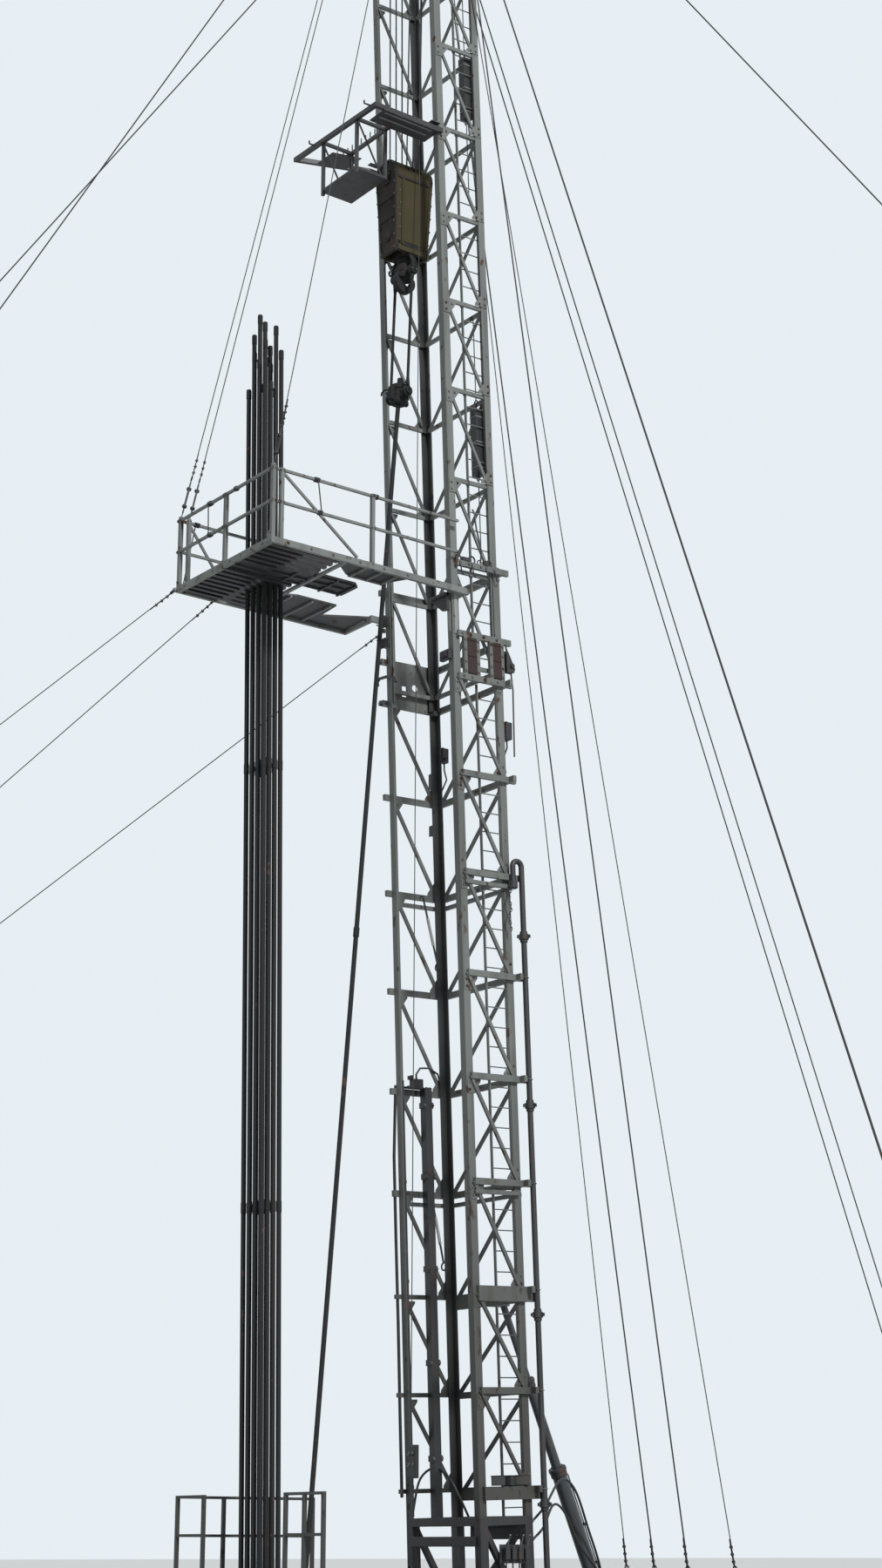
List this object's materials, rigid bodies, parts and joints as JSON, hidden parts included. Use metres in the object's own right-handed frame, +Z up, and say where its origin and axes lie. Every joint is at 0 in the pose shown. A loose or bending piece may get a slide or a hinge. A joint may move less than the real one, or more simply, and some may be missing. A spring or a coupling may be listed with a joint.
{
  "type": "oil drilling rig",
  "caption": "Guyed telescoping angle-iron drilling mast with travelling block, tubing board, rod basket, ladders, raising ram and base skid.",
  "frame": {"origin": "ground level under the middle of the mast's open front, on the underside of the skid's base plate", "axes": "+Z up, +Y from the mast's open front to its back, +X to the side with the ladder"},
  "size_m": [32.3799, 35.5794, 32.048],
  "materials": {
    "mast_steel": "weathered",
    "dark_steel": "worn",
    "block_paint": "worn",
    "wire_rope": "greased"
  },
  "bodies": {
    "mast": {"base_skid": "dark_steel", "levelling_jacks": "dark_steel", "mast_support_frame": "mast_steel", "work_floor": "dark_steel", "floor_railings": "mast_steel", "lower_mast_legs": "mast_steel", "lower_left_bracing": "mast_steel", "lower_right_bracing": "mast_steel", "lower_back_bracing": "mast_steel", "lower_mast_head": "mast_steel", "upper_mast_legs": "mast_steel", "upper_left_bracing": "mast_steel", "upper_right_bracing": "mast_steel", "upper_back_bracing": "mast_steel", "lower_ladder": "mast_steel", "upper_ladder": "mast_steel", "side_column": "mast_steel", "raising_ram": "mast_steel", "standpipe": "dark_steel", "crown_frame": "mast_steel", "crown_sheaves": "dark_steel", "tubing_board_frame": "mast_steel", "tubing_board_deck": "dark_steel", "tubing_board_fingers": "dark_steel", "tubing_board_rails": "mast_steel", "board_hangers": "wire_rope", "rod_basket_frame": "dark_steel", "rod_basket_tray": "dark_steel", "line_weights": "dark_steel", "racked_tubing": "dark_steel", "crown_guys": "wire_rope", "board_guys": "wire_rope", "load_guys": "wire_rope", "guy_anchors": "wire_rope", "block_lines": "wire_rope"},
    "hoist": {"travelling_block": "block_paint", "block_sheaves": "dark_steel", "hook": "dark_steel", "elevator_links": "dark_steel"},
    "stand": {"elevator": "dark_steel", "hanging_stand": "dark_steel"}
  },
  "joints": [
    {"name": "block_hoist", "type": "slide", "parent": "mast", "child": "hoist", "axis": [0, 0, 1], "range_m": [0, 3.5], "deforming": ["block_lines"]},
    {"name": "stand_swing", "type": "hinge", "parent": "hoist", "child": "stand", "pos_m": [0, -0.95829, 19.61177], "axis": [1, 0, 0], "range_deg": [0, 4.7]}
  ]
}
